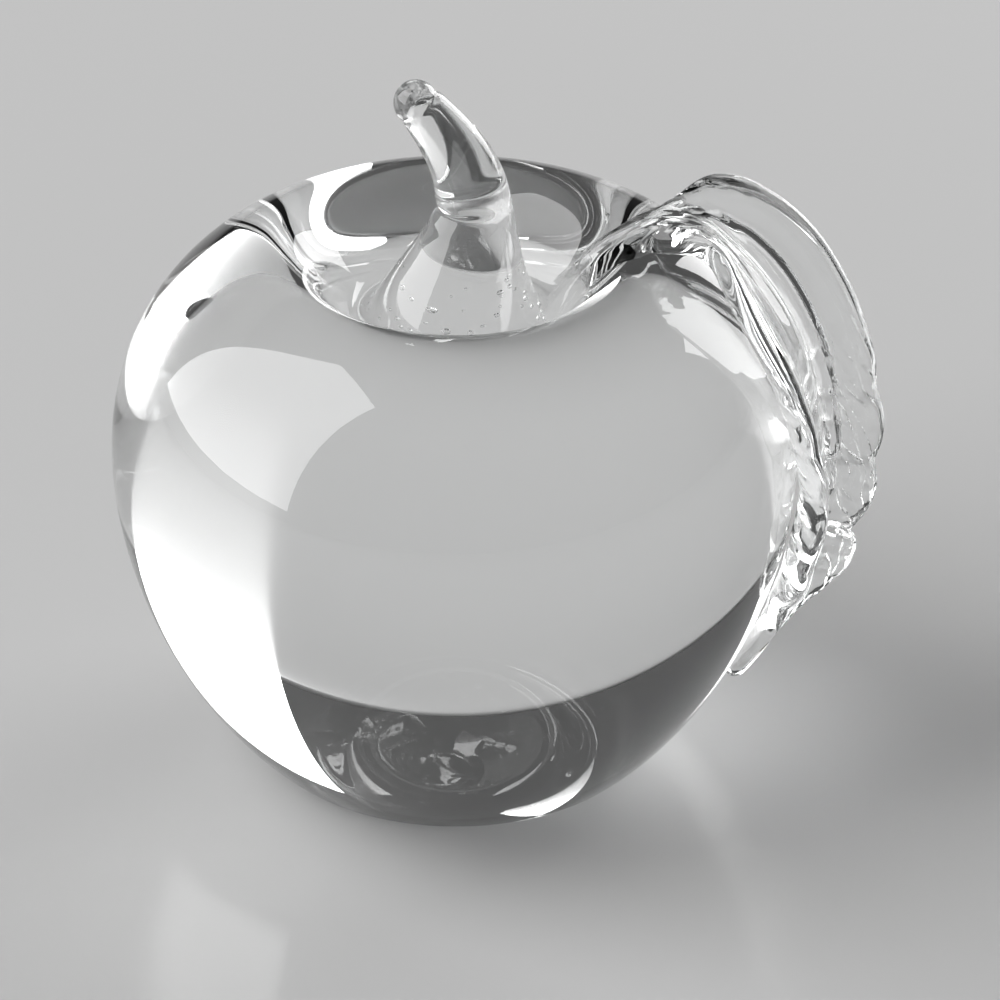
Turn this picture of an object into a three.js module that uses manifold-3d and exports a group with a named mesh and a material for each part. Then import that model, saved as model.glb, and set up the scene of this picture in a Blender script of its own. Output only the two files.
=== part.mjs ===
// Solid glass apple paperweight, in three pieces of clear crystal, hot-worked and welded together:
// a gathered, dimpled body with a ground base, a stem pulled out of the dimple, and one applied leaf.
// Millimetres, +Z up. The origin is the centre of the ground base, the front faces -Y, the leaf +X.
import * as THREE from 'three';
import Module from 'manifold-3d';
import { mergeVertices } from 'three/addons/utils/BufferGeometryUtils.js';

// Body
const bodyDiameter = 76;
const equatorHeight = 36.3;
const rimHeight = 60.5;
const rimDiameter = 40.8;
const dimpleDepth = 13.4;
const baseDiameter = 43.6;
const baseEdge = 0.8;
const flankRise = THREE.MathUtils.degToRad(43);

// Fullness of the body's curves: the share of its span that each end of a curve keeps its direction for.
// These shares make one smooth curve of the whole section, with no change of curvature where two meet.
const flankFullness = { base: 0.32, equator: 0.345 };
const shoulderFullness = { equator: 0.665, rim: 0.345 };
const dimpleFullness = { rim: 0.385, floor: 0.64 };

// Stem
const stemHeight = 33.4;
const stemOffset = 1.9;
const stemLean = 7.8;
const neckHeight = 19;
const neckDiameter = 8.6;
const neckCrease = 0.6;
const neckCreaseLength = 0.9;
const tipDiameter = 4.4;
const footDiameter = 26.8;
const footEdgeHeight = 5.5;
const stemBend = 0.44;
const footFlare = { low: { width: 0.44, rise: 0.02 }, high: { width: 0.2, rise: 0.585 } };

// Leaf, measured along the body's skin from the top of the rim
const leafInset = 12;
const leafReach = 60;
const leafWidth = 19.2;
const leafRoll = THREE.MathUtils.degToRad(27);
const leafSwing = THREE.MathUtils.degToRad(-10);
const leafLift = 1.5;
const edgeThickness = 3.6;
const coreThickness = 1.8;
const farCup = 2.8;
const nearCup = 4.1;
const troughShift = 1.4;
const petioleWidth = 5;
const petioleThickness = 4.2;
const leafTipWidth = 2.7;
const leafTipThickness = 2.5;
const lobeStart = 7.3;
const lobeLength = 6.6;
const lobeDepth = 2.6;
const veinPitch = 3.5;
const veinDepth = 0.45;
const veinSlant = 0.35;
const midribDepth = 0.5;
const midribWidth = 1.6;

// Welds: the cold gap that stands for the fused skin between two pieces
const weldGap = 0.3;

// Facets
const bodySegments = 60;
const curveSteps = { edge: 2, flank: 11, shoulder: 13, dimple: 11 };
const stemSegments = 26;
const footSteps = 13;
const rodSteps = 20;
const leafStations = 96;
const rollSides = 6;
const faceSteps = 10;

const wasm = await Module();
wasm.setup();

const crystal = new THREE.MeshStandardMaterial({ color: 0xf1f4f5, roughness: 0.03, metalness: 0 });
const point = (radius, height) => new THREE.Vector2(radius, height);
const { lerp, smoothstep } = THREE.MathUtils;

// The body's half section, from the base's edge up the flank, over the shoulder and down into the dimple.
const bodyRadius = bodyDiameter / 2;
const baseRadius = baseDiameter / 2;
const rimRadius = rimDiameter / 2;
const floorHeight = rimHeight - dimpleDepth;
const riseDirection = point(Math.cos(flankRise), Math.sin(flankRise));
const flankStart = point(baseRadius, 0).addScaledVector(riseDirection, baseEdge);
const equator = point(bodyRadius, equatorHeight);
const rim = point(rimRadius, rimHeight);
const flankSpan = flankStart.distanceTo(equator);
const shoulderRise = rimHeight - equatorHeight;

const edgeCurve = new THREE.QuadraticBezierCurve(
  point(baseRadius - baseEdge, 0),
  point(baseRadius, 0),
  flankStart,
);
const flankCurve = new THREE.CubicBezierCurve(
  flankStart,
  flankStart.clone().addScaledVector(riseDirection, flankFullness.base * flankSpan),
  point(bodyRadius, equatorHeight * (1 - flankFullness.equator)),
  equator,
);
const shoulderCurve = new THREE.CubicBezierCurve(
  equator,
  point(bodyRadius, equatorHeight + shoulderFullness.equator * shoulderRise),
  point(lerp(rimRadius, bodyRadius, shoulderFullness.rim), rimHeight),
  rim,
);
const dimpleCurve = new THREE.CubicBezierCurve(
  rim,
  point(rimRadius * (1 - dimpleFullness.rim), rimHeight),
  point(rimRadius * dimpleFullness.floor, floorHeight),
  point(0, floorHeight),
);

// Lists the section's points, each moved out along its own normal by the given offset.
function bodySection(offset) {
  const section = [point(0, -offset)];
  const add = (curve, steps, first) => {
    for (let step = first; step <= steps; step += 1) {
      const along = curve.getTangent(step / steps);
      const place = curve.getPoint(step / steps);
      section.push(place.add(point(along.y, -along.x).multiplyScalar(offset)));
    }
  };
  add(edgeCurve, curveSteps.edge, 0);
  add(flankCurve, curveSteps.flank, 1);
  add(shoulderCurve, curveSteps.shoulder, 1);
  add(dimpleCurve, curveSteps.dimple, 1);
  section.at(-1).x = 0;
  return section;
}

function bodyGeometry(offset = 0) {
  return new THREE.LatheGeometry(bodySection(offset), bodySegments).rotateX(Math.PI / 2);
}

// Joins rings of points into one closed skin, with a point at each end.
function loft(rings, firstEnd, lastEnd) {
  const count = rings[0].length;
  const vertices = [firstEnd, ...rings.flat(), lastEnd];
  const last = vertices.length - 1;
  const faces = [];
  const at = (ring, side) => 1 + ring * count + (side % count);
  for (let side = 0; side < count; side += 1) {
    faces.push(0, at(0, side + 1), at(0, side));
    for (let ring = 0; ring < rings.length - 1; ring += 1) {
      faces.push(at(ring, side), at(ring, side + 1), at(ring + 1, side + 1));
      faces.push(at(ring, side), at(ring + 1, side + 1), at(ring + 1, side));
    }
    faces.push(last, at(rings.length - 1, side), at(rings.length - 1, side + 1));
  }
  const geometry = new THREE.BufferGeometry().setFromPoints(vertices);
  return geometry.setIndex(faces);
}

// The stem: a foot that fills the dimple and flares up out of it, a neck creased on the left, then a rod
// that bends over to the left and ends in a fire-polished round tip.
const neck = new THREE.Vector3(stemOffset, 0, floorHeight + neckHeight);
const stemTip = new THREE.Vector3(stemOffset - stemLean, 0, floorHeight + stemHeight);
const rodCurve = new THREE.QuadraticBezierCurve3(
  neck,
  new THREE.Vector3(stemOffset, 0, lerp(neck.z, stemTip.z, stemBend)),
  stemTip,
);
const footEdge = floorHeight + footEdgeHeight;
const flarePoint = ({ width, rise }) =>
  point(lerp(neckDiameter, footDiameter, width) / 2, lerp(footEdge, neck.z, rise));
const footCurve = new THREE.CubicBezierCurve(
  flarePoint({ width: 1, rise: 0 }),
  flarePoint(footFlare.low),
  flarePoint(footFlare.high),
  flarePoint({ width: 0, rise: 1 }),
);

function stemGeometry(offset = 0) {
  const rings = [];
  const addRing = (centre, direction, radius, pastNeck) => {
    const side = new THREE.Vector3(0, 1, 0);
    const across = side.clone().cross(direction).normalize();
    const crease = neckCrease * Math.exp(-((pastNeck / neckCreaseLength) ** 2));
    const ring = [];
    for (let index = 0; index < stemSegments; index += 1) {
      const angle = (2 * Math.PI * index) / stemSegments;
      const spoke = across.clone().multiplyScalar(Math.cos(angle)).addScaledVector(side, Math.sin(angle));
      const leftness = (1 - Math.cos(angle)) / 2;
      ring.push(centre.clone().addScaledVector(spoke, radius + offset - crease * leftness));
    }
    rings.push(ring);
  };
  const up = new THREE.Vector3(0, 0, 1);
  const sole = new THREE.Vector3(0, 0, floorHeight - offset);
  addRing(sole, up, footDiameter / 2, neckHeight);
  for (let step = 0; step < footSteps; step += 1) {
    const { x: radius, y: height } = footCurve.getPoint(step / footSteps);
    const shift = stemOffset * smoothstep(height, footEdge, neck.z);
    addRing(new THREE.Vector3(shift, 0, height), up, radius, neck.z - height);
  }
  const rodLength = rodCurve.getLength();
  const roundLength = tipDiameter / 2;
  for (let step = 0; step < rodSteps; step += 1) {
    const along = Math.sin((Math.PI / 2) * (step / rodSteps)) * rodLength;
    const taper = lerp(neckDiameter, tipDiameter, along / rodLength);
    const past = Math.max(0, along - (rodLength - roundLength)) / roundLength;
    const radius = (taper / 2) * Math.sqrt(1 - past ** 2);
    addRing(rodCurve.getPointAt(along / rodLength), rodCurve.getTangentAt(along / rodLength), radius, along);
  }
  const crown = stemTip.clone().addScaledVector(rodCurve.getTangentAt(1), offset);
  return loft(rings, sole, crown);
}

// The leaf follows the body's skin from inside the dimple, over the rim and down the flank.
const skin = new THREE.CurvePath();
skin.add(flankCurve);
skin.add(shoulderCurve);
skin.add(dimpleCurve);
const rimLength = flankCurve.getLength() + shoulderCurve.getLength();

// A smooth line through stops of [share of the leaf's length, value].
function through(stops, share) {
  const next = Math.max(1, stops.findIndex(([place]) => place >= share));
  const slope = (index) => {
    const before = stops[Math.max(0, index - 1)];
    const after = stops[Math.min(stops.length - 1, index + 1)];
    return (after[1] - before[1]) / (after[0] - before[0]);
  };
  const [from, fromValue] = stops[next - 1];
  const [to, toValue] = stops[next];
  const width = to - from;
  const x = (share - from) / width;
  const rise = toValue - fromValue;
  const bend = (1 - x) * (slope(next - 1) * width - rise) - x * (slope(next) * width - rise);
  return fromValue + rise * x + x * (1 - x) * bend;
}

// How the leaf opens out of its petiole, broadens and narrows to its tip, as shares of its full width, with
// each half's own share of that, and how far it stands off the body, turns towards the front and swings
// round the body, as shares of its lift, roll and swing. Its lobes deepen towards the tip, and its near edge
// lies flatter there, as shares of their full depth and cup.
const leafOpening = [
  [0, 0], [0.17, 0], [0.23, 0.5], [0.31, 0.88], [0.42, 1], [0.55, 0.98],
  [0.7, 0.82], [0.8, 0.64], [0.87, 0.24], [0.93, 0.05], [1, 0],
];
const farWidth = [
  [0, 1], [0.3, 1], [0.45, 0.97], [0.54, 0.97], [0.61, 1.01], [0.7, 0.98],
  [0.77, 0.95], [0.8, 1.05], [0.84, 1.5], [0.88, 1.7], [0.92, 1.22], [1, 1],
];
const nearWidth = [
  [0, 1], [0.22, 1.08], [0.32, 1.13], [0.42, 1.06], [0.54, 0.94],
  [0.66, 0.74], [0.74, 0.84], [0.84, 0.94], [1, 1],
];
const leafStandOff = [
  [0, 0], [0.13, 0.45], [0.19, 1.9], [0.23, 2.75], [0.29, 2.15], [0.36, 1.65], [0.43, 1.3],
  [0.55, 1], [0.66, 1.25], [0.75, 1.35], [0.85, 1.45], [0.94, 0.95], [1, 0.5],
];
const leafTurn = [[0, 0], [0.15, 0.25], [0.3, 0.85], [0.5, 1], [0.72, 0.95], [1, 0.2]];
const leafBearing = [[0, 0.1], [0.15, -0.1], [0.4, 0.1], [0.7, 0.45], [1, 1]];
const notchDepth = [[0, 0], [0.5, 0], [0.56, 0.12], [0.65, 0.42], [0.74, 1], [0.79, 0.3], [0.83, 0], [1, 0]];
const nearCupping = [[0, 1], [0.64, 1], [0.76, 0.7], [0.85, 0.25], [0.92, 0], [1, 0]];

// Where along the leaf, and where across it, its features begin and end, as shares.
const widestShare = 0.48;
const bladeOpening = 0.7;
const crimpStart = { from: 0.42, full: 0.56 };
const veinStart = { from: 0.04, full: 0.16 };
const veinEnd = { from: 0.44, none: 0.62 };
const rollStart = { from: 0.5, full: 0.85 };
const notchSharpness = 1.3;
const nearNotch = 0.3;
const tipShare = 0.5;

// One section across the leaf, as pairs of place and height: a round roll at each edge, and between the rolls
// two faces that draw together in the trough.
function leafSection({ far, near, trough, edge, core }) {
  const section = [];
  const addRoll = (middle, start) => {
    for (let side = 0; side < rollSides; side += 1) {
      const angle = start + (Math.PI * side) / rollSides;
      section.push([middle + edge * Math.cos(angle), edge * Math.sin(angle)]);
    }
  };
  const addFace = (turn) => {
    for (let step = 0; step < faceSteps; step += 1) {
      const share = turn * (1 - (2 * step) / faceSteps);
      const limit = share > 0 ? far - edge : edge - near;
      const height = lerp(core, edge, smoothstep(Math.abs(share), rollStart.from, rollStart.full));
      section.push([lerp(trough, limit, Math.abs(share)), turn * height]);
    }
  };
  addRoll(far - edge, -Math.PI / 2);
  addFace(1);
  addRoll(edge - near, Math.PI / 2);
  addFace(-1);
  return section;
}

function leafGeometry() {
  const length = leafInset + leafReach;
  const rings = [];
  const middles = [];
  for (let station = 0; station < leafStations; station += 1) {
    const share = station / leafStations;
    const along = share * length;
    const t = (rimLength + leafInset - along) / skin.getLength();
    const place = skin.getPoint(t);
    const back = skin.getTangent(t);
    const bearing = leafSwing * through(leafBearing, share);
    const outward = new THREE.Vector3(Math.cos(bearing), Math.sin(bearing), 0);
    const sideways = new THREE.Vector3(-Math.sin(bearing), Math.cos(bearing), 0);
    const off = outward.clone().multiplyScalar(back.y).setZ(-back.x);
    const roll = leafRoll * through(leafTurn, share);
    const across = sideways.clone().multiplyScalar(Math.cos(roll)).addScaledVector(off, Math.sin(roll));
    const facing = off.clone().multiplyScalar(Math.cos(roll)).addScaledVector(sideways, -Math.sin(roll));
    const middle = outward.clone().multiplyScalar(place.x).setZ(place.y);
    middle.addScaledVector(off, leafLift * through(leafStandOff, share));

    const opening = through(leafOpening, share);
    const blade = smoothstep(opening, 0, bladeOpening);
    const crimped = blade * smoothstep(share, crimpStart.from, crimpStart.full);
    const [endWidth, endThickness] =
      share < widestShare ? [petioleWidth, petioleThickness] : [leafTipWidth, leafTipThickness];
    const rounding = Math.sqrt(1 - Math.max(0, 1 - (length - along) / (leafTipWidth / 2)) ** 2);
    const lobe = Math.abs(Math.sin((Math.PI * (along - lobeStart)) / lobeLength));
    const notch = lobeDepth * through(notchDepth, share) * (1 - lobe) ** notchSharpness * rounding;
    const halfWidth = (lerp(endWidth, leafWidth, opening) / 2) * rounding;
    const far = halfWidth * through(farWidth, share) - notch;
    const near = halfWidth * through(nearWidth, share) - nearNotch * notch;
    const trough = troughShift * blade;
    const edge = Math.min((lerp(endThickness, edgeThickness, blade) / 2) * rounding, halfWidth);
    const core = lerp(edge, coreThickness / 2, blade);

    const ring = leafSection({ far, near, trough, edge, core }).map(([reach, height]) => {
      const onFar = reach > trough;
      const offTrough = Math.abs(reach - trough);
      const outness = offTrough / (onFar ? far - trough : near + trough);
      const chevron = (along - offTrough * veinSlant) / veinPitch;
      const vein = (1 + Math.cos(2 * Math.PI * chevron)) / 2;
      const clearOfRoll = 1 - smoothstep(outness, veinEnd.from, veinEnd.none);
      const veined = crimped * smoothstep(outness, veinStart.from, veinStart.full) * clearOfRoll;
      const midrib = blade * Math.exp(-((offTrough / (midribWidth / 2)) ** 2));
      const pressed = height > 0 ? veinDepth * vein * veined + midribDepth * midrib : 0;
      const cup = (onFar ? farCup : nearCup * through(nearCupping, share)) * blade * outness ** 2;
      return middle.clone().addScaledVector(across, reach).addScaledVector(facing, cup + height - pressed);
    });
    rings.push(ring);
    middles.push(middle);
  }
  const tip = middles.at(-1).clone().lerp(middles.at(-2), -tipShare);
  return loft(rings, middles[0], tip);
}

// Turns a closed geometry into a solid for cutting, and a cut solid back into a geometry.
function toSolid(geometry) {
  const bare = geometry.clone();
  bare.deleteAttribute('normal');
  bare.deleteAttribute('uv');
  const merged = mergeVertices(bare, 1e-4);
  const corners = [];
  for (let index = 0; index < merged.index.count; index += 3) {
    const [a, b, c] = merged.index.array.slice(index, index + 3);
    if (a !== b && b !== c && c !== a) {
      corners.push(a, b, c);
    }
  }
  const vertProperties = new Float32Array(merged.attributes.position.array);
  return new wasm.Manifold(new wasm.Mesh({ numProp: 3, vertProperties, triVerts: new Uint32Array(corners) }));
}

function toGeometry(solid) {
  const { vertProperties, triVerts } = solid.getMesh();
  const geometry = new THREE.BufferGeometry();
  geometry.setAttribute('position', new THREE.BufferAttribute(vertProperties, 3));
  geometry.setIndex(new THREE.BufferAttribute(triVerts, 1));
  return geometry;
}

function largest(solid) {
  return solid.decompose().reduce((best, piece) => (piece.volume() > best.volume() ? piece : best));
}

// The stem's foot and the leaf's root and tip are seated on the skins that they are welded to.
const bodySkin = toSolid(bodyGeometry(weldGap));
const stemSkin = toSolid(stemGeometry(weldGap));
const stemSolid = largest(toSolid(stemGeometry()).subtract(bodySkin));
const leafSolid = largest(toSolid(leafGeometry()).subtract(bodySkin).subtract(stemSkin));

function piece(name, geometry) {
  const mesh = new THREE.Mesh(geometry, crystal);
  mesh.name = name;
  return mesh;
}

const apple = new THREE.Group();
apple.add(piece('apple_body', bodyGeometry()));
apple.add(piece('stem', toGeometry(stemSolid)));
apple.add(piece('leaf', toGeometry(leafSolid)));

export default apple;
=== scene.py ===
import math
import random

import bmesh
import bpy
import numpy as np
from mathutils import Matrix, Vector, noise
from mathutils.geometry import intersect_point_line


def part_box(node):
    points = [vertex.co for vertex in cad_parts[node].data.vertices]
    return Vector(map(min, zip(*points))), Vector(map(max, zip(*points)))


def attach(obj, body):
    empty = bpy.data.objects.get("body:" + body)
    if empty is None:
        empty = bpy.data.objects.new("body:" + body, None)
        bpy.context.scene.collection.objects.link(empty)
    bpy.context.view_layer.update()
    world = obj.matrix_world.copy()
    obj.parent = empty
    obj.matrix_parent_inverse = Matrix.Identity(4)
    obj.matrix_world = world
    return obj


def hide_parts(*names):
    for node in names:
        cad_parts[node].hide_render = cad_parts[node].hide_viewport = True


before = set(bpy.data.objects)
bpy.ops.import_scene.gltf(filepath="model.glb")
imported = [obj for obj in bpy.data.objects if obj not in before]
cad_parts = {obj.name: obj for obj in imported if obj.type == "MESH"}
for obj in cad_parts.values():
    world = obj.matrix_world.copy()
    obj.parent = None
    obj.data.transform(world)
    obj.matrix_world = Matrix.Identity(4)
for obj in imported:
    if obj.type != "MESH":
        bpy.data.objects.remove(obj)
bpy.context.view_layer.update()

# Apple body: a solid gather of clear crystal, blocked hot to an apple and dimpled with a rounded tool.
# Its base is ground and polished flat once it is cold, and the sharp edge of the flat is eased.
# Part of the way down the dimple its skin stops at the seat that the stem is fused to.
body_low, body_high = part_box("apple_body")
body_radius = (body_high[0] - body_low[0]) / 2
rim_height = body_high[2]
rim_radius = 0.0204
dimple_depth = 0.0134
equator_height = 0.0363
base_radius = 0.0218
base_edge = 0.0008
flank_rise = math.radians(43)
seat_share = 0.5
# A curve's fullness is the share of its span that each of its ends keeps its direction for.
flank_fullness = (0.32, 0.345)
shoulder_fullness = (0.665, 0.345)
dimple_fullness = (0.385, 0.64)
turns = 192
base_rows, edge_rows, flank_rows, shoulder_rows, dimple_rows, seat_rows = 6, 6, 90, 110, 64, 16


def bezier(corners, share):
    """The point at that share of a curve drawn by its corners, as a tuple."""
    while len(corners) > 1:
        pairs = zip(corners, corners[1:])
        corners = [tuple(a + (b - a) * share for a, b in zip(here, there)) for here, there in pairs]
    return corners[0]


def mix(low, high, share):
    return low + (high - low) * share


def ring(radius, height):
    """A level ring of points round the apple's upright line."""
    angles = [2 * math.pi * turn / turns for turn in range(turns)]
    return [Vector((radius * math.cos(angle), radius * math.sin(angle), height)) for angle in angles]


floor_height = rim_height - dimple_depth
rise = (math.cos(flank_rise), math.sin(flank_rise))
flank_foot = (base_radius + base_edge * rise[0], base_edge * rise[1])
flank_reach = flank_fullness[0] * math.dist(flank_foot, (body_radius, equator_height))
edge_curve = [(base_radius - base_edge, 0.0), (base_radius, 0.0), flank_foot]
flank_curve = [
    flank_foot,
    (flank_foot[0] + flank_reach * rise[0], flank_foot[1] + flank_reach * rise[1]),
    (body_radius, equator_height * (1 - flank_fullness[1])),
    (body_radius, equator_height),
]
shoulder_curve = [
    (body_radius, equator_height),
    (body_radius, mix(equator_height, rim_height, shoulder_fullness[0])),
    (mix(rim_radius, body_radius, shoulder_fullness[1]), rim_height),
    (rim_radius, rim_height),
]
dimple_curve = [
    (rim_radius, rim_height),
    (rim_radius * (1 - dimple_fullness[0]), rim_height),
    (rim_radius * dimple_fullness[1], floor_height),
    (0.0, floor_height),
]

body_rings = [ring((base_radius - base_edge) * row / base_rows, 0.0) for row in range(1, base_rows)]
for curve, rows in (
    (edge_curve, edge_rows),
    (flank_curve, flank_rows),
    (shoulder_curve, shoulder_rows),
):
    body_rings += [ring(*bezier(curve, row / rows)) for row in range(rows)]
body_rings += [ring(*bezier(dimple_curve, seat_share * row / dimple_rows)) for row in range(dimple_rows + 1)]
seat_rings = [
    ring(*bezier(dimple_curve, mix(seat_share, 1.0, row / seat_rows))) for row in range(seat_rows)
]
base_middle = Vector((0.0, 0.0, 0.0))
seat_middle = Vector((0.0, 0.0, floor_height))


class Shade:
    """A socket of a material, so that products of sockets and numbers can be written as such."""

    def __init__(self, tree, socket=None):
        self.tree = tree
        self.socket = socket

    def node(self, kind, settings, sockets, output=0):
        """Adds a node, sets it, fills its sockets with values or links, and gives one of its outputs."""
        made = self.tree.nodes.new(kind)
        for key, value in settings.items():
            setattr(made, key, value)
        for key, value in sockets.items():
            if isinstance(value, Shade):
                self.tree.links.new(value.socket, made.inputs[key])
            else:
                made.inputs[key].default_value = value
        return Shade(self.tree, made.outputs[output]) if made.outputs else None

    def __mul__(self, other):
        return self.node("ShaderNodeMath", {"operation": "MULTIPLY"}, {0: self, 1: other})

    __rmul__ = __mul__


def empty_finish(name):
    """A new material with no nodes yet, and where to add them from."""
    material = bpy.data.materials.new(name)
    material.use_nodes = True
    material.node_tree.nodes.clear()
    return material, Shade(material.node_tree)


def end_finish(start, sockets):
    """Gives a material its surface."""
    surface = start.node("ShaderNodeBsdfPrincipled", {}, sockets)
    start.node("ShaderNodeOutputMaterial", {}, {"Surface": surface})


crystal_colour = (0.985, 0.992, 0.99, 1.0)
crystal_index = 1.54
patches_per_metre = 60.0
soft_from, soft_full = 0.6, 0.8
soft_roughness = 0.02


def crystal(name, ripple_size, ripple_depth):
    """Clear lead crystal, fire-polished: it keeps faint ripples of the hot tools and softer patches."""
    material, start = empty_finish(name)
    place = start.node("ShaderNodeTexCoord", {}, {}, "Object")
    ripple = start.node(
        "ShaderNodeTexNoise", {}, {"Vector": place, "Scale": 1 / ripple_size, "Detail": 1.0}
    )
    wavy = start.node("ShaderNodeBump", {}, {"Height": ripple, "Strength": 1.0, "Distance": ripple_depth})
    patches = start.node(
        "ShaderNodeTexNoise", {}, {"Vector": place, "Scale": patches_per_metre, "Detail": 2.0}
    )
    softness = start.node(
        "ShaderNodeMapRange", {}, {"Value": patches, "From Min": soft_from, "From Max": soft_full}
    )
    end_finish(
        start,
        {
            "Base Color": crystal_colour,
            "Roughness": soft_roughness * softness,
            "IOR": crystal_index,
            "Transmission Weight": 1.0,
            "Normal": wavy,
        },
    )
    return material


body_crystal = crystal("body_crystal", ripple_size=0.02, ripple_depth=0.00002)

# Stem: a second bit of crystal dropped into the dimple, pulled up, creased at the neck and bent over.
# Its foot spreads into the bowl of the dimple and is fused there, and its end is fire-polished round.
stem_offset = 0.0019
stem_lean = 0.0078
stem_bend = 0.44
neck_height = floor_height + 0.019
tip_height = floor_height + 0.0334
neck_radius = 0.0043
neck_flare = (0.0007, 0.0038)
tip_radius = 0.0022
tip_roundness = 2.2
crease_depth = 0.0006
crease_width = 0.0009
end_crease_depth = 0.00014
end_crease_width = 0.0004
end_length = 0.0029
flare_foot = (0.0091, floor_height + 0.0075)
flare_rise = Vector((-0.0019, 0.0034))
fillet_low = 0.002
fillet_high = 0.0018
slope_step = 0.01
fillet_rows, foot_rows, rod_rows, rod_steps = 20, 60, 110, 400
stem_crystal = crystal("stem_crystal", ripple_size=0.008, ripple_depth=0.00003)

seat_edge = bezier(dimple_curve, seat_share)
bowl_rise = Vector(bezier(dimple_curve, seat_share - slope_step)) - Vector(seat_edge)
flare_curve = [
    flare_foot,
    tuple(Vector(flare_foot) + flare_rise),
    (neck_radius + neck_flare[0], neck_height - neck_flare[1]),
    (neck_radius, neck_height),
]
fillet_curve = [
    seat_edge,
    tuple(Vector(seat_edge) - fillet_low * bowl_rise.normalized()),
    tuple(Vector(flare_foot) - fillet_high * flare_rise.normalized()),
    flare_foot,
]
rod_curve = [
    (stem_offset, neck_height),
    (stem_offset, mix(neck_height, tip_height, stem_bend)),
    (stem_offset - stem_lean, tip_height),
]


def smooth(value, low, high):
    """Rises from 0 to 1, without a corner, as the value goes from low to high."""
    share = min(max((value - low) / (high - low), 0.0), 1.0)
    return share * share * (3 - 2 * share)


def groove(depth, away, width):
    """How deep a soft groove is, that far away from its middle."""
    return depth * math.exp(-((away / width) ** 2))


def foot_shift(height):
    """How far the foot's middle stands to the right of the apple's, at that height."""
    return stem_offset * smooth(height, seat_edge[1], neck_height)


def stem_ring(centre, across, radius, past_neck):
    """A ring round the stem's line, with the neck's crease, which dies out on the right."""
    crease = groove(crease_depth, past_neck, crease_width)
    points = []
    for turn in range(turns):
        angle = 2 * math.pi * turn / turns
        spoke = across * math.cos(angle) + Vector((0.0, math.sin(angle), 0.0))
        points.append(centre + spoke * (radius - crease * (0.5 - 0.5 * math.cos(angle))))
    return points


stem_rings = []
for curve, rows in ((fillet_curve, fillet_rows), (flare_curve, foot_rows)):
    for row in range(rows):
        radius, height = bezier(curve, row / rows)
        centre = Vector((foot_shift(height), 0.0, height))
        stem_rings.append(stem_ring(centre, Vector((1.0, 0.0, 0.0)), radius, height - neck_height))
del stem_rings[0]

rod_line = [Vector(bezier(rod_curve, step / rod_steps)) for step in range(rod_steps + 1)]
rod_reach = np.concatenate(([0.0], np.cumsum([(b - a).length for a, b in zip(rod_line, rod_line[1:])])))
rod_length = float(rod_reach[-1])
rod_start, rod_knee, rod_end = [Vector(corner) for corner in rod_curve]
for row in range(rod_rows):
    along = math.sin(math.pi / 2 * row / rod_rows) * rod_length
    share = float(np.interp(along, rod_reach, np.linspace(0.0, 1.0, rod_steps + 1)))
    ahead = (rod_knee.lerp(rod_end, share) - rod_start.lerp(rod_knee, share)).normalized()
    here = bezier(rod_curve, share)
    past = max(0.0, along - (rod_length - tip_radius)) / tip_radius
    end_crease = groove(end_crease_depth, rod_length - along - end_length, end_crease_width)
    radius = mix(neck_radius, tip_radius, along / rod_length) - end_crease
    radius *= (1 - past**tip_roundness) ** (1 / tip_roundness)
    across = Vector((ahead.y, 0.0, -ahead.x))
    stem_rings.append(stem_ring(Vector((here[0], 0.0, here[1])), across, radius, along))
stem_tip = Vector((rod_curve[-1][0], 0.0, rod_curve[-1][1]))

# Seeds: specks of air caught in the stem's foot when it was dropped, hot, into the dimple.
# Each is a tiny hollow just under the foot's skin, drawn out along the ring that it lies on, and
# rather more of them lie low down than high up.
seed_count = 120
seed_sizes = (0.00012, 0.00036)
seed_stretch = (1.0, 2.4)
seed_depths = (0.0001, 0.0007)
low_bias = 1.2
small_bias = 1.3
foot_steps = 60
seed_rings, seed_sides = 6, 10
chance = random.Random(11)


def loft(rings, first_end=None, last_end=None):
    """Points and faces of a skin through rings of one count, closed by a point at either end."""
    count = len(rings[0])
    points = [point for one in rings for point in one]
    faces = []
    for row in range(len(rings) - 1):
        for side in range(count):
            low, next_low = row * count + side, row * count + (side + 1) % count
            faces.append((low, next_low, next_low + count, low + count))
    if first_end is not None:
        faces += [(len(points), (side + 1) % count, side) for side in range(count)]
        points.append(first_end)
    if last_end is not None:
        top = (len(rings) - 1) * count
        faces += [(len(points), top + side, top + (side + 1) % count) for side in range(count)]
        points.append(last_end)
    return points, faces


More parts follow.
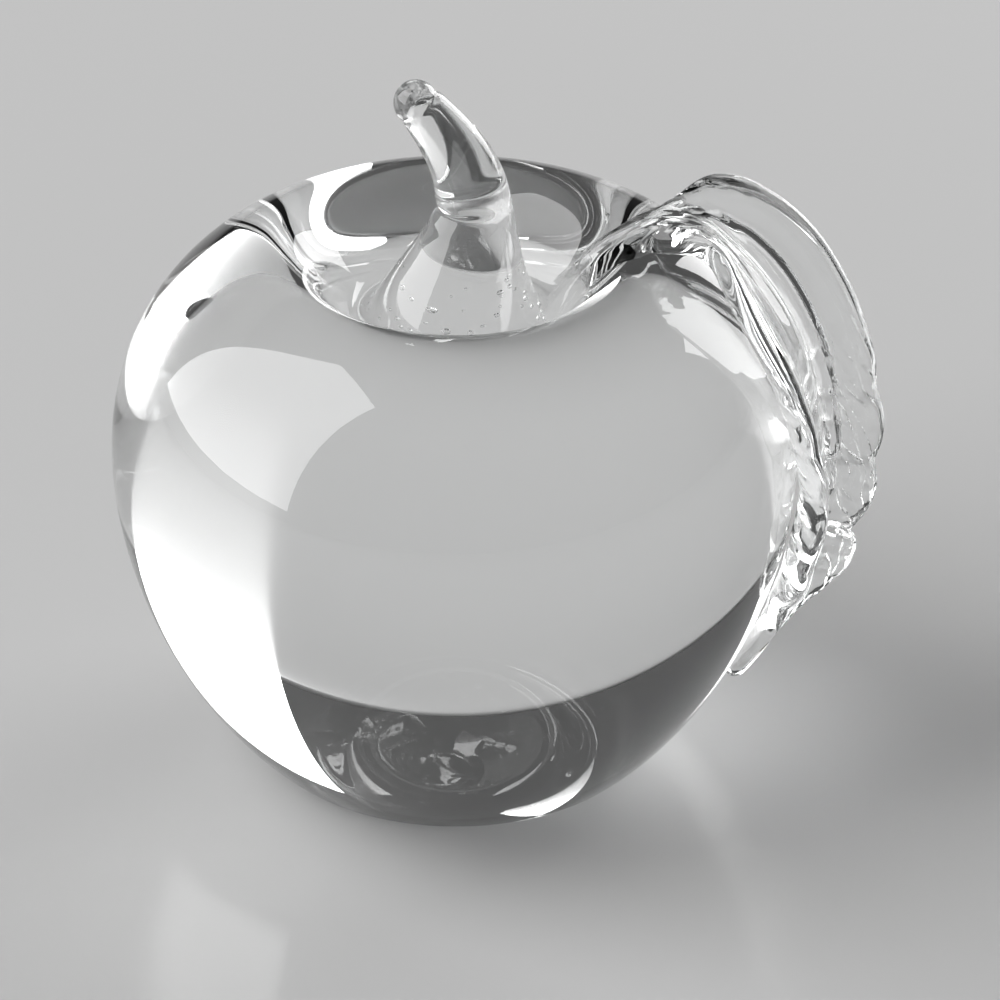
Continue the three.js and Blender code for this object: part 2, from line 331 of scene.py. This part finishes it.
foot_line = [bezier(fillet_curve, step / foot_steps) for step in range(foot_steps // 2, foot_steps)]
foot_line += [bezier(flare_curve, step / foot_steps) for step in range(foot_steps // 2)]
seed_angles = [2 * math.pi * side / seed_sides for side in range(seed_sides)]
seed_points, seed_faces = [], []
for seed in range(seed_count):
    step = int((len(foot_line) - 1) * chance.random() ** low_bias)
    across, height = foot_line[step]
    slope = Vector(foot_line[step + 1]) - Vector(foot_line[step])
    size = seed_sizes[0] * (seed_sizes[1] / seed_sizes[0]) ** (chance.random() ** small_bias)
    inward = Vector((-slope.y, slope.x)).normalized() * (size + chance.uniform(*seed_depths))
    bearing = chance.uniform(0, 2 * math.pi)
    stretch = chance.uniform(*seed_stretch)
    spoke = Vector((math.cos(bearing), math.sin(bearing), 0.0))
    along = Vector((-math.sin(bearing), math.cos(bearing), 0.0))
    middle = spoke * (across + inward.x) + Vector((foot_shift(height), 0.0, height + inward.y))
    arms = [spoke * math.cos(angle) + along * stretch * math.sin(angle) for angle in seed_angles]
    hoops = []
    for hoop in range(1, seed_rings):
        tilt = math.pi * hoop / seed_rings
        level = Vector((0.0, 0.0, -size * math.cos(tilt)))
        hoops.append([middle + level + size * math.sin(tilt) * arm for arm in arms])
    points, faces = loft(hoops, middle - Vector((0.0, 0.0, size)), middle + Vector((0.0, 0.0, size)))
    seed_faces += [tuple(len(seed_points) + index for index in face) for face in faces]
    seed_points += points

# Leaf: a third bit of crystal laid from the stem's foot over the rim and down the right flank, drawn to a
# tip, and crimped while soft into lobes and slanting veins. It is fused on at its root and at its tip.
# Its far half is the one behind its trough. The petiole and the tip are given by width and thickness.
leaf_root = 0.003
leaf_inset = 0.012
leaf_reach = 0.06
leaf_length = leaf_inset + leaf_reach
leaf_width = 0.0192
leaf_lift = 0.0015
leaf_roll = math.radians(27)
leaf_swing = math.radians(-10)
leaf_core = 0.0009
leaf_rim = 0.0018
far_rim_share = 1.35
rim_start = 0.5
near_rim_full = 0.85
far_rim_full = 1.0
rim_limit = 0.98
far_cup = 0.0028
near_cup = 0.0041
trough_shift = 0.0014
petiole = (0.005, 0.0042)
leaf_tip = (0.0027, 0.0025)
widest_share = 0.48
full_blade = 0.7
crimp_span = (0.42, 0.56)
lobe_length = 0.0066
lobe_shift = 0.0073
lobe_depth = 0.0026
lobe_ruffle = 0.0004
ruffle_span = (0.4, 1.0)
near_lobe_share = 0.3
notch_sharpness = 1.3
leaf_rows, rim_sides, face_sides, skin_rows = 460, 30, 72, 1500
skin_step = 0.0002
leaf_crystal = crystal("leaf_crystal", ripple_size=0.005, ripple_depth=0.00001)

# The leaf's run, as stops of (share of its length, value): how far it is open, how wide its halves are, how
# deep its notches and its near cup are, how far it stands off, how far it is rolled and where it heads.
leaf_opening = [
    (0, 0), (0.17, 0), (0.23, 0.5), (0.31, 0.88), (0.42, 1), (0.55, 0.98), (0.7, 0.82), (0.8, 0.64),
    (0.87, 0.24), (0.93, 0.05), (1, 0),
]
leaf_far = [
    (0, 1), (0.3, 1), (0.45, 0.97), (0.54, 0.97), (0.61, 1.01), (0.7, 0.98), (0.77, 0.95), (0.8, 1.05),
    (0.84, 1.5), (0.88, 1.7), (0.92, 1.22), (1, 1),
]
leaf_near = [
    (0, 1), (0.22, 1.08), (0.32, 1.13), (0.42, 1.06), (0.54, 0.94), (0.66, 0.74), (0.74, 0.84),
    (0.84, 0.94), (1, 1),
]
leaf_notch = [(0, 0), (0.5, 0), (0.56, 0.12), (0.65, 0.42), (0.74, 1), (0.79, 0.3), (0.83, 0), (1, 0)]
leaf_near_cup = [(0, 1), (0.64, 1), (0.76, 0.7), (0.85, 0.25), (0.92, 0), (1, 0)]
leaf_stand_off = [
    (0, 0), (0.13, 0.45), (0.19, 1.9), (0.23, 2.75), (0.29, 2.15), (0.36, 1.65), (0.43, 1.3), (0.55, 1.0),
    (0.66, 1.25), (0.75, 1.35), (0.85, 1.45), (0.94, 0.95), (1, 0.5),
]
leaf_turn = [(0, 0), (0.15, 0.25), (0.3, 0.85), (0.5, 1), (0.72, 0.95), (1, 0.2)]
leaf_bearing = [(0, 0.1), (0.15, -0.1), (0.4, 0.1), (0.7, 0.45), (1, 1)]


def through(stops, share):
    """A smooth line through stops of (share of the length, value)."""
    after = next(index for index, stop in enumerate(stops) if index and stop[0] >= share)

    def slope(index):
        before, behind = stops[max(0, index - 1)], stops[min(len(stops) - 1, index + 1)]
        return (behind[1] - before[1]) / (behind[0] - before[0])

    (start, low), (end, high) = stops[after - 1], stops[after]
    width, climb = end - start, high - low
    x = (share - start) / width
    bend = (1 - x) * (slope(after - 1) * width - climb) - x * (slope(after) * width - climb)
    return low + climb * x + x * (1 - x) * bend


skin_line = np.array(
    [
        bezier(curve, row / skin_rows)
        for curve in (flank_curve, shoulder_curve, dimple_curve)
        for row in range(skin_rows)
    ]
    + [dimple_curve[-1]]
)
skin_reach = np.concatenate(([0.0], np.cumsum(np.linalg.norm(np.diff(skin_line, axis=0), axis=1))))
rim_reach = skin_reach[2 * skin_rows]


def on_skin(reach):
    """The point of the body's section that far up its skin, as (radius, height)."""
    return np.array([np.interp(reach, skin_reach, skin_line[:, axis]) for axis in (0, 1)])


def leaf_station(along, share):
    """The leaf's middle at that place, and the directions across it and off its face."""
    reach = rim_reach + leaf_inset - along
    radius, height = on_skin(reach)
    back = on_skin(reach + skin_step) - on_skin(reach - skin_step)
    back = back / np.linalg.norm(back)
    bearing = leaf_swing * through(leaf_bearing, share)
    outward = Vector((math.cos(bearing), math.sin(bearing), 0.0))
    sideways = Vector((-math.sin(bearing), math.cos(bearing), 0.0))
    off = outward * back[1] + Vector((0.0, 0.0, -back[0]))
    roll = leaf_roll * through(leaf_turn, share)
    across = sideways * math.cos(roll) + off * math.sin(roll)
    facing = off * math.cos(roll) - sideways * math.sin(roll)
    stand_off = off * leaf_lift * through(leaf_stand_off, share)
    return outward * radius + Vector((0.0, 0.0, height)) + stand_off, across, facing


def leaf_outline(far, near, trough, rims, core):
    """A section with a round roll at each edge and a thinner trough between: (place across, height)."""
    far_rim, near_rim = rims
    far_roll, near_roll = far - far_rim, near_rim - near
    outline = []

    def roll(middle, rim, start):
        for side in range(rim_sides):
            angle = start + math.pi * side / rim_sides
            outline.append((middle + rim * math.cos(angle), rim * math.sin(angle)))

    def face(turn):
        for side in range(face_sides):
            share = turn * (1 - 2 * side / face_sides)
            if share > 0:
                height = mix(core, far_rim, smooth(share, rim_start, far_rim_full))
                outline.append((mix(trough, far_roll, share), turn * height))
            else:
                height = mix(core, near_rim, smooth(-share, rim_start, near_rim_full))
                outline.append((mix(trough, near_roll, -share), turn * height))

    roll(far_roll, far_rim, -math.pi / 2)
    face(1)
    roll(near_roll, near_rim, math.pi / 2)
    face(-1)
    return outline


# The leaf's crimping: slanting veins on both sides of a midrib, pressed by hand, so that they wander and
# are uneven. Fine lines run down the petiole, lumps lie on the crest, and wrinkles on the far half.
# A start or an end is the span in which a feature comes or goes, and a layer keeps two patterns apart.
vein_pitch = 0.0035
vein_slant = 0.35
vein_depth = 0.0006
vein_sharpness = 1.6
vein_start = (0.04, 0.16)
vein_end = (0.44, 0.62)
far_vein_share = 0.5
under_vein_share = 0.4
vein_wander = 0.0009
wander_grain = (260, 120)
press_mean, press_swing = 0.75, 0.9
press_grain = (190, 90)
midrib_depth = 0.0005
midrib_width = 0.0008
draw_depth = 0.00005
draw_pitch = 0.0011
draw_sway, draw_bends = 3, 4
draw_end = (0.2, 0.32)
draw_edge = (0.75, 1.0)
crest_lumps = 0.00022
crest_lump_size = 0.0024
crest_start = (0.12, 0.2)
crest_end = (0.24, 0.36)
crest_edge = (0.45, 0.8)
crest_middle_share = 0.25
wrinkle_depth = 0.0009
wrinkle_length = 0.0045
wrinkle_width = 0.001
wrinkle_lean = 0.3
wrinkle_spread = 2.6
wrinkle_sharpness = 1.4
wrinkle_start = (0.3, 0.5)
wrinkle_end = (0.72, 0.92)
wander_layer, press_layer, wrinkle_layer = 3.0, 9.0, 5.0


def vein(along, reach, off_trough, edge):
    """The depth of the slanting veins, where they are crimped fully."""
    hand = noise.noise(Vector((along * wander_grain[0], reach * wander_grain[1], wander_layer)))
    slant = along - off_trough * vein_slant + vein_wander * hand
    line = (1 - abs(math.sin(math.pi * slant / vein_pitch))) ** vein_sharpness
    press = noise.noise(Vector((along * press_grain[0], reach * press_grain[1], press_layer)))
    kept = smooth(edge, *vein_start) * (1 - smooth(edge, *vein_end))
    return vein_depth * line * kept * (press_mean + press_swing * press)


def draw_line(share, reach, edge):
    """The depth of the fine lines along the petiole, where it was drawn out."""
    wave = math.sin(2 * math.pi * reach / draw_pitch + draw_sway * math.sin(draw_bends * share))
    return draw_depth * wave * (1 - smooth(share, *draw_end)) * (1 - smooth(edge, *draw_edge))


def crest_lump(along, share, reach, height, edge):
    """The height of the lumps on the crest, most of them at its edges."""
    lump = noise.noise(Vector((along, reach, height)) / crest_lump_size)
    kept = smooth(share, *crest_start) * (1 - smooth(share, *crest_end))
    return crest_lumps * lump * kept * mix(crest_middle_share, 1, smooth(edge, *crest_edge))


def wrinkle(along, reach, edge):
    """The depth of the wrinkles on the far half, where it is crimped fully."""
    leaning = (reach - wrinkle_lean * along) / wrinkle_width
    fold = noise.noise(Vector((along / wrinkle_length, leaning, wrinkle_layer)))
    ridge = max(0.0, 1 - wrinkle_spread * abs(fold)) ** wrinkle_sharpness
    return wrinkle_depth * ridge * smooth(edge, *wrinkle_start) * (1 - smooth(edge, *wrinkle_end))


leaf_rings = []
for row in range(leaf_rows):
    along = mix(-leaf_root, leaf_length, row / leaf_rows)
    share = max(along, 0.0) / leaf_length
    middle, across, facing = leaf_station(along, share)
    opening = through(leaf_opening, share)
    blade = smooth(opening, 0.0, full_blade)
    crimped = smooth(share, *crimp_span) * blade
    rounding = math.sqrt(1 - max(0.0, 1 - (leaf_length - along) / (leaf_tip[0] / 2)) ** 2)
    end_width, end_thickness = petiole if share < widest_share else leaf_tip
    half_width = mix(end_width, leaf_width, opening) / 2 * rounding
    rim = min(mix(end_thickness / 2, leaf_rim, blade) * rounding, rim_limit * half_width)
    rims = (min(rim * mix(1, far_rim_share, blade), rim_limit * half_width), rim)
    lobe = abs(math.sin(math.pi * (along - lobe_shift) / lobe_length))
    notch = lobe_depth * through(leaf_notch, share) * (1 - lobe) ** notch_sharpness * rounding
    far = half_width * through(leaf_far, share) - notch
    near = half_width * through(leaf_near, share) - near_lobe_share * notch
    trough = trough_shift * blade
    cups = (far_cup, near_cup * through(leaf_near_cup, share))
    section = []
    for reach, height in leaf_outline(far, near, trough, rims, mix(rim, leaf_core, blade)):
        on_far = reach > trough
        off_trough = abs(reach - trough)
        edge = off_trough / (far - trough if on_far else near + trough)
        pressed = vein(along, reach, off_trough, edge) * crimped * (far_vein_share if on_far else 1)
        pressed += groove(midrib_depth * blade, off_trough, midrib_width) + draw_line(share, reach, edge)
        if on_far:
            pressed += wrinkle(along, reach, edge) * crimped
        lift = (cups[0] if on_far else cups[1]) * blade * edge**2 + height
        lift += lobe_ruffle * crimped * (lobe - 0.5) * smooth(edge, *ruffle_span)
        lift += crest_lump(along, share, reach, height, edge)
        lift -= pressed if height > 0 else -under_vein_share * pressed
        section.append(middle + across * reach + facing * lift)
    leaf_rings.append(section)
leaf_start, leaf_end = [sum(leaf_rings[row], Vector()) / len(leaf_rings[row]) for row in (0, -1)]

# Welds: where two pieces are fused the glass runs on, so the faces between them show nothing.
# The body and the stem are one skin of rings, from the base to the stem's tip. The leaf is cut to that skin,
# the skin under it is kept as its footprint, and every piece is closed by its share of the welds.
same_place = 2e-6
sharp_angle = math.radians(40)
weld, weld_start = empty_finish("fused_weld")
end_finish(weld_start, {"Alpha": 0.0})
BODY, STEM, LEAF, WELD = range(4)
finishes = [body_crystal, stem_crystal, leaf_crystal, weld]


def glass_piece(name, points, faces, marks):
    """A smooth mesh object whose faces each take the finish that their mark names."""
    mesh = bpy.data.meshes.new(name)
    mesh.from_pydata(points, [], faces)
    for finish in finishes:
        mesh.materials.append(finish)
    mesh.polygons.foreach_set("material_index", marks)
    mesh.polygons.foreach_set("use_smooth", [True] * len(faces))
    mesh.update()
    piece = bpy.data.objects.new(name, mesh)
    bpy.context.scene.collection.objects.link(piece)
    return piece


def joined(blank, tool, operation):
    """The mesh that a boolean leaves of a blank, as points and marked faces."""
    cut = blank.modifiers.new("cut", "BOOLEAN")
    cut.object = tool
    cut.operation = operation
    cut.solver = "EXACT"
    shaped = blank.evaluated_get(bpy.context.evaluated_depsgraph_get()).to_mesh()
    points = [vertex.co.copy() for vertex in shaped.vertices]
    faces = [(tuple(face.vertices), face.material_index) for face in shaped.polygons]
    blank.modifiers.remove(cut)
    return points, faces


def marked(faces, *marks):
    """The faces that have one of those marks, in the order of the marks."""
    return [face for mark in marks for face, found in faces if found == mark]


def frayed_edges(shape):
    return [edge for edge in shape.edges if len(edge.link_faces) == 1]


def welded_piece(name, shares):
    """One closed piece from shares of (points, faces, finish mark, whether they are turned over)."""
    points, faces, marks = [], [], []
    for share_points, share_faces, mark, turned in shares:
        first = len(points)
        points += share_points
        for face in share_faces:
            order = tuple(first + index for index in face)
            faces.append(order[::-1] if turned else order)
            marks.append(mark)
    piece = glass_piece(name, points, faces, marks)
    shape = bmesh.new()
    shape.from_mesh(piece.data)
    bmesh.ops.remove_doubles(shape, verts=shape.verts, dist=same_place)
    # An open edge is split where the corner of another one lies on it, so that the two can close.
    for edge in frayed_edges(shape):
        corners = {corner for other in frayed_edges(shape) for corner in other.verts}
        for corner in corners - set(edge.verts):
            foot, share = intersect_point_line(corner.co, edge.verts[0].co, edge.verts[1].co)
            if 0 < share < 1 and (foot - corner.co).length < same_place:
                bmesh.utils.edge_split(edge, edge.verts[0], share)
                break
    bmesh.ops.remove_doubles(shape, verts=shape.verts, dist=same_place)
    loose = [vertex for vertex in shape.verts if not vertex.link_faces]
    bmesh.ops.delete(shape, geom=loose, context="VERTS")
    shape.to_mesh(piece.data)
    shape.free()
    piece.data.set_sharp_from_angle(angle=sharp_angle)
    return piece


shell_points, shell_faces = loft(body_rings + stem_rings, base_middle, stem_tip)
shell_marks = [BODY] * ((len(body_rings) - 1) * turns) + [STEM] * (len(stem_rings) * turns)
shell_marks += [BODY] * turns + [STEM] * turns
shell = glass_piece("shell", shell_points, shell_faces, shell_marks)
leaf_points, leaf_faces = loft(leaf_rings, leaf_start, leaf_end)
leaf_blank = glass_piece("leaf_blank", leaf_points, leaf_faces, [LEAF] * len(leaf_faces))
skin_points, skin_faces = joined(shell, leaf_blank, "UNION")
cut_points, cut_faces = joined(leaf_blank, shell, "DIFFERENCE")
seat_points, seat_faces = loft(seat_rings, None, seat_middle)
for blank in (shell, leaf_blank):
    bpy.data.objects.remove(blank)

apple = welded_piece(
    "crystal_body",
    [
        (skin_points, marked(skin_faces, BODY), BODY, False),
        (seat_points, seat_faces, WELD, False),
        (cut_points, marked(cut_faces, BODY), WELD, True),
    ],
)
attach(apple, "root")
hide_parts("apple_body")
stem = welded_piece(
    "crystal_stem",
    [
        (skin_points, marked(skin_faces, STEM), STEM, False),
        (seat_points, seat_faces, WELD, True),
        (cut_points, marked(cut_faces, STEM), WELD, True),
        (seed_points, seed_faces, STEM, True),
    ],
)
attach(stem, "root")
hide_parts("stem")
leaf = welded_piece(
    "crystal_leaf",
    [
        (cut_points, marked(cut_faces, LEAF), LEAF, False),
        (cut_points, marked(cut_faces, BODY, STEM), WELD, False),
    ],
)
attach(leaf, "root")
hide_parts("leaf")

# Floor: a plain pale sheet under the apple, wide enough to fill the view from any side.
# It has a thin satin lacquer, in which the lamps are reflected softly.
floor_size = 12.0
floor_gap = 0.0003
bpy.ops.mesh.primitive_plane_add(size=floor_size, location=(0.0, 0.0, -floor_gap))
floor = bpy.context.object
floor.name = "floor"
pale_lacquer, lacquer_start = empty_finish("pale_lacquer")
end_finish(
    lacquer_start,
    {
        "Base Color": (0.62, 0.62, 0.62, 1.0),
        "Roughness": 0.8,
        "Specular IOR Level": 0.0,
        "Coat Weight": 0.4,
        "Coat Roughness": 0.2,
    },
)
floor.data.materials.append(pale_lacquer)

# Light: a tall softbox close on the left and a lower one behind on the right, in a dim grey room.
# Light is reflected many times inside a solid block of glass, so it is followed further than usual.
room = bpy.data.worlds.new("studio")
room.use_nodes = True
room.node_tree.nodes["Background"].inputs["Color"].default_value = (0.07, 0.07, 0.07, 1.0)
bpy.context.scene.world = room
bpy.context.scene.cycles.glossy_bounces = 8
bpy.context.scene.cycles.max_bounces = 16


def softbox(name, bearing, distance, width, bottom, top, brightness):
    """An upright panel that faces the apple; the bearing is 0 behind the apple and 90 on its right."""
    lamp = bpy.data.lights.new(name, "AREA")
    lamp.shape = "RECTANGLE"
    lamp.size, lamp.size_y = width, top - bottom
    lamp.energy = brightness * math.pi * width * (top - bottom)
    box = bpy.data.objects.new(name, lamp)
    turn = math.radians(bearing)
    box.location = (distance * math.sin(turn), distance * math.cos(turn), (bottom + top) / 2)
    aim = Vector((-math.sin(turn), -math.cos(turn), 0.0))
    box.rotation_euler = aim.to_track_quat("-Z", "Y").to_euler()
    box.visible_camera = False
    bpy.context.scene.collection.objects.link(box)


softbox("left_softbox", bearing=-92, distance=1.1, width=1.42, bottom=0.15, top=2.81, brightness=4.0)
softbox("right_softbox", bearing=43, distance=0.75, width=0.52, bottom=0.0, top=0.53, brightness=5.0)

# Camera: at the photograph's height and distance, with the frame shifted as the photograph is cropped.
# It looks at the apple's upright line, and half_view is half of the width that the frame shows there.
target = (0.0, 0.0, 0.032)
camera_distance = 0.8
camera_rise = math.radians(30)
half_view = 0.05543
lens = bpy.data.cameras.new("camera")
lens.sensor_fit = "HORIZONTAL"
lens.angle = 2 * math.atan(half_view / camera_distance)
lens.shift_x = 0.0445
lens.shift_y = -0.0219
camera = bpy.data.objects.new("camera", lens)
camera.location = (
    0.0,
    -camera_distance * math.cos(camera_rise),
    target[2] + camera_distance * math.sin(camera_rise),
)
camera.rotation_euler = (Vector(target) - camera.location).to_track_quat("-Z", "Y").to_euler()
bpy.context.scene.collection.objects.link(camera)
bpy.context.scene.camera = camera
bpy.context.scene.view_settings.view_transform = "Standard"
